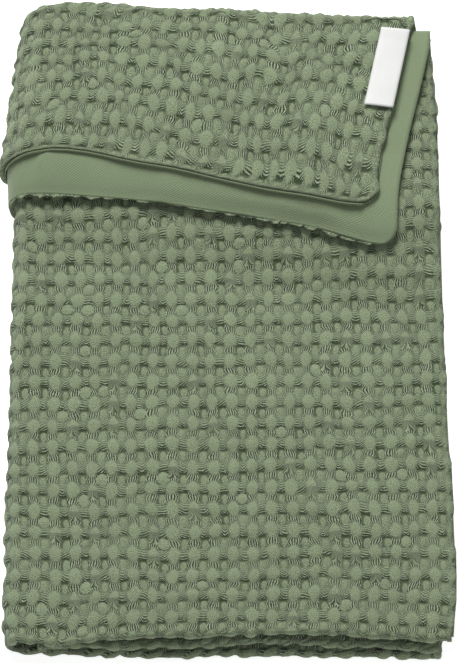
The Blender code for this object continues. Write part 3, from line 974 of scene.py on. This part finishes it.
# %% [markdown]
# ## The waffle cloth
#
# Now the cloth itself. First the grid lines: one line a cell on the panels, four a cell in the side
# turns, and few lines in the plies that nobody sees. Then everything that shows is refined to
# eight steps across and ten along a cell. In the turns the pads stand out further, because the
# cloth is stretched round a bend there.
#
# Along the hems the two cloths are sewn together, which presses the waffle flat in a band of
# four and a half millimetres and rounds its edge over. The upper flap's edge is tucked under, the
# right edge of the stack is scalloped by its pads, and below the lower hem the waffle peeps out
# from behind the lining in small tufts, one for each column of pads.

# %% Grid lines and what shows
WAFFLE_COLUMNS = spaced_lines(
    (0.0, 19.0, 19), (19.0, 26.0, 28), (26.0, 43.5, 9), (43.5, 49.0, 22), (49.0, 66.0, 9))
WAFFLE_ROWS = spaced_lines(
    (0.4, 1.0, 1), (1.0, 8.0, 7), (8.0, 9.6, 8), (9.6, 38.7, 24), (38.7, 39.5, 4), (39.5, 40.0, 1),
    (40.0, 68.0, 28), (68.0, 68.8, 4), (68.8, 77.0, 4), (77.0, 77.96, 3), (77.96, 78.0, 1))
WAFFLE_STEPS = (8, 10)                  # in a cell that shows, across and along
LEFT_SEEN = 25.4                        # the left turn is seen from the top third to here
RIGHT_SEEN, RIGHT_FLAP_SEEN = (44.2, 47.0), (44.2, 49.0)
HEM_SEEN, HEM_INSIDE_SEEN = 77.0, 77.7  # the strip of the waffle that peeps out at the lower hem
BESIDE_FLAP = 4.0                       # so many cells of the big panel show beside the flap


def waffle_shows(across, along, inside=False):
    """Whether a place of the waffle cloth can be seen once it is folded."""
    if inside:
        return along > HEM_INSIDE_SEEN and across < LEFT_SEEN
    if along < FLAP_BACK:
        return across < LEFT_SEEN or RIGHT_FLAP_SEEN[0] < across < RIGHT_FLAP_SEEN[1]
    if along < TURN_BACK or FRONT_UNDER < along < FRONT:
        return True
    if FRONT < along < COVERED:
        return across < LEFT_SEEN or RIGHT_SEEN[0] < across < RIGHT_SEEN[1]
    if along > HEM_SEEN:
        return across < LEFT_SEEN
    return FRONT < along < MAIN_BACK and across < BESIDE_FLAP


# %% Make the waffle cloth
HEM_BAND, HEM_HEIGHT, HIDDEN_HEIGHT = 0.0045, 0.80, 0.6
EDGE_ROLL, EDGE_WIDE, GROOVE, GROOVE_WIDE = 0.0005, 0.0014, 0.0002, 0.0007
TURN_PUFF, HEM_TUCK, SIDE_PUFF, TUFT_LIFT = 0.0026, 0.0024, 0.0030, 0.0003
TUFT_REACH, TUCK_REACH, SIDE_REACH = 0.16, 0.15, 0.30     # in cells from the edge
LEAST_CLOTH = 0.0004                                      # the waffle cloth starts no thinner
HEM_PEEP = (    # how far the waffle peeps out below the lower hem, by x
    (-0.170, 0.0040), (-0.145, 0.0040), (-0.118, 0.0034), (-0.100, 0.0022), (-0.060, 0.0018),
    (-0.020, 0.0022), (0.000, 0.0030), (0.030, 0.0034), (0.090, 0.0034), (0.110, 0.0022),
    (0.125, 0.0012), (0.140, 0.0),
)


def waffle_face(across, along, shown):
    """Depth of the waffle's face, and how much lower than 1 its height is there."""
    height = relief(across, along)
    hem = to_edge(across, along)
    height = blend(HEM_HEIGHT, height, ease((hem - 0.30 * HEM_BAND) / (0.70 * HEM_BAND)))
    height = np.where(shown, height, HIDDEN_HEIGHT)
    rolled = EDGE_ROLL * np.clip(1 - hem / EDGE_WIDE, 0, 1) ** 2
    groove = GROOVE * np.exp(-((hem - HEM_BAND) / GROOVE_WIDE) ** 2)
    return FACE_AIR + RELIEF * (1 - height) + rolled + groove, np.where(shown, 1 - height, 0.0)


def turning(across, along):
    """1 half way round the back and the front fold, less in the side turns, 0 on flat parts."""
    ends = turn_ends(along)
    turns = ((FLAP_BACK, TURN_BACK, along, 1.0), (FRONT_UNDER, FRONT, along, 1.0),
             (*ends[:2], across, 0.8), (*ends[2:], across, 0.50))
    return np.max([
        full * np.sin(math.pi * np.clip((at - a) / (b - a), 0, 1)) for a, b, at, full in turns], axis=0)


def lay_cloth(across, along, depth, roll=0.0):
    """Fold points of the cloth, with their wander and their lift."""
    places = fold(*wandered(across, along), depth, roll)
    places[:, 2] += lifted(across, along)
    places = hung(places, across, along, depth)
    places[:, 2] = np.maximum(places[:, 2], 0.0)
    return places


def peep_out(points, across, along, inside):
    """Let tufts peep out below the lower hem, one a column, and tuck the upper hem under."""
    beside = across - np.round(across)
    strength = np.clip(0.55 + 0.45 * one_each(float_table, across + 0.5, along * 0 + 7), 0, 1)
    tuft = 0.45 + 0.85 * hump(beside / 0.40) * strength + 0.35 * drift(lift_table, across, along, 0.2)
    at_hem = ease(1 - (LAST_ALONG - along) / TUFT_REACH)
    x = points[:, 0] + OUTLINE_MIDDLE.x
    points[:, 1] -= np.where(inside, follow(HEM_PEEP, x) * tuft, -HEM_TUCK) * at_hem
    points[:, 2] += TUFT_LIFT * at_hem * inside
    points[:, 1] += HEM_TUCK * ease(1 - (along - FIRST_ALONG) / TUCK_REACH) * inside


def scallop(points, across, along):
    """Let the pads stand out at the free edge, and draw the edge in between them."""
    above = along - np.round(along)
    out = hump(above / 0.42) * (0.7 + 0.5 * one_each(float_table, across * 0 + 9, along + 0.5)) - 0.5
    points[:, 0] += SIDE_PUFF * out * ease(1 - across / SIDE_REACH) * (along < MAIN_BACK)


def waffle_piece():
    mesh = slab(len(WAFFLE_COLUMNS), len(WAFFLE_ROWS))
    refine(mesh, WAFFLE_COLUMNS, WAFFLE_ROWS, waffle_shows, WAFFLE_STEPS)
    across, along, inside = cells_of(mesh, WAFFLE_COLUMNS, WAFFLE_ROWS)
    shown = np.array([waffle_shows(a, b) for a, b in zip(across, along)])
    across = np.where(inside, across, crowd(across, CROWD_ACROSS))
    along = np.where(inside, along, crowd(along, CROWD_ALONG))
    across = np.clip(across, FIRST_ACROSS, LAST_ACROSS)
    along = np.clip(along, FIRST_ALONG, LAST_ALONG)
    face, hollow = waffle_face(across, along, shown)
    depth = np.where(inside, WAFFLE_INSIDE, np.minimum(face, WAFFLE_INSIDE - LEAST_CLOTH))
    lump = np.clip(1.15 - hollow, 0, 1) * (0.8 + 0.5 * drift(lift_table, across, along, 0.9))
    depth -= np.where(inside, 0.0, TURN_PUFF * turning(across, along) * lump)
    points = lay_cloth(across, along, depth)
    peep_out(points, across, along, inside)
    scallop(points, across, along)
    return finished("waffle_face", mesh, points, (across, along), waffle_cotton, {
        "carved": 1.0 * shown, "popped": 1.0 * is_popped(across, along),
        "tent": 1.0 * is_tent(across, along),
        "open": ease((to_edge(across, along) / HEM_BAND - 0.55) / 0.8)})


waffle = waffle_piece()

# %% [markdown]
# ## The lining
#
# Inside is a smooth cotton twill. It shows on the lower flap, between the two hems, and as a thin
# lip that peeps out along the upper hem. Up close its yarns run in fine slanted lines, a little
# under two millimetres apart, and the cloth keeps a few soft creases from being folded. In front
# of the upper hem it swells up slightly.
#
# It is made as the waffle was: a slab of cells, laid with the same map a little deeper, and finer
# where it shows. At the upper hem its outermost corners are moved forward and up to make the lip.

# %% Lining material
LINING_LIGHT = (0.179, 0.226, 0.134, 1.0)
LINING_DEEP = (0.122, 0.157, 0.087, 1.0)
TWILL_STEP, TWILL_SLANT, LINING_BUMP = 0.0018, 0.66, 0.00018


def lining_material():
    material, shader, start = new_material("lining_cotton", 0.90, 0.10)
    across, along = cells_uv(start)
    slant = across * (TWILL_SLANT * CELL_WIDE / TWILL_STEP) - along * (CELL_LONG / TWILL_STEP)
    yarn, cloud = noise(start, 9.0, 3.0), noise(start, 0.5, 3.0)
    line = (slant + yarn * 0.5).wave()
    tone = line * 0.36 + yarn * 0.40 + cloud * 0.35
    connect(shader, "Base Color", tone.step(0.1, 1.0).colour(LINING_DEEP, LINING_LIGHT))
    connect(shader, "Normal", bump(start, 0.8, LINING_BUMP, line + yarn * 0.8))
    return material


lining_cotton = lining_material()
print("lining nodes:", len(lining_cotton.node_tree.nodes))

# %% Make the lining
LINING_COLUMNS = spaced_lines(
    (0.0, 1.0, 4), (1.0, 7.0, 12), (7.0, 19.0, 12), (19.0, 26.0, 21), (26.0, 43.5, 5),
    (43.5, 49.0, 16), (49.0, 66.0, 5))
LINING_ROWS = spaced_lines(
    (0.4, 0.46, 1), (0.46, 0.7, 2), (0.7, 8.0, 8), (8.0, 9.6, 8), (9.6, 38.7, 28), (38.7, 39.5, 6),
    (39.5, 68.0, 28), (68.0, 68.8, 6), (68.8, 77.4, 10), (77.4, 77.95, 4), (77.95, 78.0, 1))
LINING_STEPS, LINING_SEEN = (3, 4), 24.1
LIP_FORWARD, LIP_UP = (0.0019, 0.0008), (0.0014, 0.0030)    # of the inner side and the outer one
RELAXED_ALONG, RELAXED_ACROSS = 69.4, 20.8                  # creases and swells begin, and end
CREASES = (   # on the lower flap: from x, y to x, y, reach and height
    (-0.142, 0.134, -0.159, 0.104, 0.0030, 0.0008), (-0.045, 0.128, -0.052, 0.096, 0.0035, 0.0012),
    (-0.020, 0.118, 0.010, 0.082, 0.0090, 0.0008), (0.060, 0.110, 0.085, 0.070, 0.0080, 0.0008),
    (0.125, 0.240, 0.108, 0.120, 0.0080, 0.0006),
)
SWELL = (   # how far the lining rises in front of the upper hem, by x
    (-0.153, 0.0), (-0.144, 0.0026), (-0.134, 0.0028), (-0.102, 0.0018), (-0.070, 0.0007),
    (-0.020, 0.0007), (0.020, 0.0014), (0.060, 0.0014), (0.090, 0.0012), (0.115, 0.0004),
    (0.130, 0.0),
)
SWELL_LEAN, SWELL_AT = 0.47, 0.134                      # x for each y, and the y it is measured at
SWELL_UNDER, SWELL_REAR, SWELL_FRONT = 0.001, 0.007, 0.028


def lining_shows(across, along, inside=False):
    """The lower flap, where the lining lies open. The lip at the upper hem needs no finer mesh."""
    return along > LOWER_FLAP and across < LINING_SEEN and not inside


def creased(points):
    """Soft ridges along a few lines of the lower flap, and swells in front of the upper hem."""
    x, y = points[:, 0] + OUTLINE_MIDDLE.x, points[:, 1] + OUTLINE_MIDDLE.y
    total = 0.0 * x
    for from_x, from_y, to_x, to_y, reach, height in CREASES:
        run_x, run_y = to_x - from_x, to_y - from_y
        long = math.hypot(run_x, run_y)
        beside = ((x - from_x) * run_y - (y - from_y) * run_x) / long
        total += height * np.exp(-(beside / reach) ** 2)
    from_hem = follow(UPPER_HEM_LINE, x) - follow(UPPER_HANG, x) - y
    to_hem = y - follow(LOWER_HEM_LINE, x) + follow(LOWER_HANG, x)
    swell = follow(SWELL, x - SWELL_LEAN * (y - SWELL_AT))
    return total + swell * ease((from_hem + SWELL_UNDER) / SWELL_REAR) * ease(to_hem / SWELL_FRONT)


def lining_piece():
    mesh = slab(len(LINING_COLUMNS), len(LINING_ROWS))
    refine(mesh, LINING_COLUMNS, LINING_ROWS, lining_shows, LINING_STEPS)
    across, along, inside = cells_of(mesh, LINING_COLUMNS, LINING_ROWS)
    depth = np.where(inside, LINING_SIDES[1], LINING_SIDES[0])
    points = lay_cloth(across, along, depth, LINING_ROLL)
    hem = np.minimum(along - FIRST_ALONG, LAST_ALONG - along)
    lip = (hem < 1e-4) & (along < FRONT)
    points[:, 1] -= np.where(lip, np.where(inside, *LIP_FORWARD), 0.0)
    points[:, 2] += np.where(lip, np.where(inside, *LIP_UP), 0.0)
    on_flap = ease((along - RELAXED_ALONG) / 2.0) * ease((RELAXED_ACROSS - across) / 0.8)
    points[:, 2] += creased(points) * on_flap
    return finished("lining_face", mesh, points, (across, along), lining_cotton)


lining = lining_piece()

# %% [markdown]
# ## The ribbon label
#
# A white woven ribbon is sewn on beside the flap's right edge. Here it stays blank. A ribbon is
# thin and springy, so its ends lift a little, and it bends softly over the lumps below. It is a
# grid with a thickness, laid on the flap and bent by a few waves, with the rounded selvedge that
# a woven ribbon has.

# %% Ribbon material
RIBBON_LIGHT = (0.53, 0.53, 0.515, 1.0)
RIBBON_DEEP = (0.44, 0.44, 0.43, 1.0)
RIBBON_RIB, RIBBON_BUMP = 0.0007, 0.00008
LABEL_WIDE, LABEL_LONG, LABEL_THICK = 0.0230, 0.0750, 0.0007


def ribbon_material():
    material, shader, start = new_material("ribbon", 0.55, 0.0)
    over, down = cells_uv(start)
    rib = (down * (1 / RIBBON_RIB)).wave()
    thread = (over * (1 / RIBBON_RIB)).wave()
    edge = abs(over - LABEL_WIDE / 2).step(LABEL_WIDE / 2 - 0.0016, LABEL_WIDE / 2 - 0.0008)
    dust = noise(start, 160.0, 3.0)
    tone = 0.55 + rib * thread * 0.25 + dust * 0.25 - edge * 0.12
    connect(shader, "Base Color", tone.step(0.1, 1.0).colour(RIBBON_DEEP, RIBBON_LIGHT))
    connect(shader, "Normal", bump(start, 0.35, RIBBON_BUMP, rib + thread * 0.6 + edge * 2.0))
    return material


ribbon = ribbon_material()
print("ribbon nodes:", len(ribbon.node_tree.nodes))

# %% Make the label
LABEL_TOP_RIGHT = Vector((0.1440, 0.2458))
LABEL_LEAN, LABEL_SKEW = math.radians(11.5), math.radians(7.0)
LABEL_COLUMNS, LABEL_ROWS = 13, 39
LABEL_LIFT, LUMPS_BELOW = 0.0004, 0.0018        # over the flap's plain top, and for its lumps
END_CURL, SIDE_CURL, WAVE = 0.0006, 0.0003, 0.0003
SELVEDGE, SELVEDGE_THICK = 0.0015, 0.55


def label_piece():
    mesh = slab(LABEL_COLUMNS, LABEL_ROWS)
    co = np.array([corner.co for corner in mesh.verts])
    over = LABEL_WIDE * co[:, 0] / (LABEL_COLUMNS - 1)
    down = LABEL_LONG * co[:, 1] / (LABEL_ROWS - 1)
    top = np.abs(co[:, 2]) > 0.5
    x = LABEL_TOP_RIGHT.x - math.cos(LABEL_SKEW) * over - math.sin(LABEL_LEAN) * down
    y = LABEL_TOP_RIGHT.y + math.sin(LABEL_SKEW) * over - math.cos(LABEL_LEAN) * down
    stack = third_height(x, y, (1.0 + 0 * x, 0 * x, 0 * x))
    ends = np.minimum(down, LABEL_LONG - down)
    curl = END_CURL * (1 - ease(ends / 0.012)) + SIDE_CURL * np.sin(math.pi * over / LABEL_WIDE)
    wave = WAVE * np.sin(down * 130.0 + 1.0) * np.cos(over * 90.0)
    z = top_underside(x, y, stack) + 4 * PLY - FACE_AIR + LABEL_LIFT + LUMPS_BELOW + curl + wave
    side = np.minimum(over, LABEL_WIDE - over)
    fullness = SELVEDGE_THICK + (1 - SELVEDGE_THICK) * ease(side / SELVEDGE)
    z += np.where(top, LABEL_THICK * fullness, 0.0)
    points = np.stack([x, y, z], axis=1) - np.array(OUTLINE_MIDDLE)
    return finished("ribbon_label", mesh, points, (over, down), ribbon)


label = label_piece()

# %% [markdown]
# ## Hang each piece on the body
#
# Every piece rides on the packed body, and the plain solid that it stands for is hidden.

# %% Hang the pieces on the body and hide their solids
for piece, node, slot_name in (
    (waffle, "waffle_cloth", "waffle_cotton"),
    (lining, "lining_cloth", "lining_cotton"),
    (label, "label", "ribbon"),
):
    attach(piece, "root")
    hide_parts(node)
print("pieces:", [piece.name for piece in (waffle, lining, label)])

# %% [markdown]
# ## Table and light
#
# The surface is plain and pale. The main light is a large soft panel behind the blanket, a little
# to the left and half way up. It comes over the cloth from the back, so each pad throws its small
# shade towards us, and the hems shade what lies in front of them. A weak panel from the front and
# an even sky keep the shade open.

# %% Table
TABLE_SHADES = (0.82, 0.82, 0.81, 1.0), (0.85, 0.85, 0.85, 1.0)
TABLE_GLOW, TABLE_HALF = 0.65, 6.0


def table_top():
    mesh = bmesh.new()
    bmesh.ops.create_grid(mesh, x_segments=2, y_segments=2, size=TABLE_HALF)
    data = bpy.data.meshes.new("table_top")
    mesh.to_mesh(data)
    mesh.free()
    material, shader, start = new_material("pale_table", 0.8, 0.0)
    grain = noise(start, 3.0, 2.0, place=start.node("ShaderNodeTexCoord", out=3))
    connect(shader, "Base Color", grain.colour(*TABLE_SHADES))
    shader.inputs["Emission Color"].default_value = (1.0, 1.0, 1.0, 1.0)
    shader.inputs["Emission Strength"].default_value = TABLE_GLOW
    data.materials.append(material)
    top = bpy.data.objects.new("table_top", data)
    bpy.context.scene.collection.objects.link(top)
    return top


table = table_top()
print("table across in m:", table.dimensions.x)

# %% Light
def soft_panel(name, azimuth, height, distance, size, power):
    """A square light that looks at the blanket. Azimuth 0 is the camera's side, 90 is right."""
    turn, lift = math.radians(azimuth), math.radians(height)
    away = Vector((math.sin(turn) * math.cos(lift), -math.cos(turn) * math.cos(lift), math.sin(lift)))
    lamp = bpy.data.objects.new(name, bpy.data.lights.new(name, "AREA"))
    lamp.data.shape = "SQUARE"
    lamp.data.size = size
    lamp.data.energy = power
    lamp.location = away * distance
    lamp.rotation_euler = away.to_track_quat("Z", "Y").to_euler()
    bpy.context.scene.collection.objects.link(lamp)
    return lamp


soft_panel("key", azimuth=193.0, height=47.0, distance=4.4, size=1.8, power=309.0)
soft_panel("fill", azimuth=20.0, height=50.0, distance=2.6, size=1.4, power=16.0)
sky = bpy.data.worlds.new("sky")
sky.use_nodes = True
sky.node_tree.nodes["Background"].inputs["Color"].default_value = (0.95, 0.97, 1.0, 1.0)
sky.node_tree.nodes["Background"].inputs["Strength"].default_value = 0.26
bpy.context.scene.world = sky
bpy.context.scene.view_settings.view_transform = "Standard"

# %% [markdown]
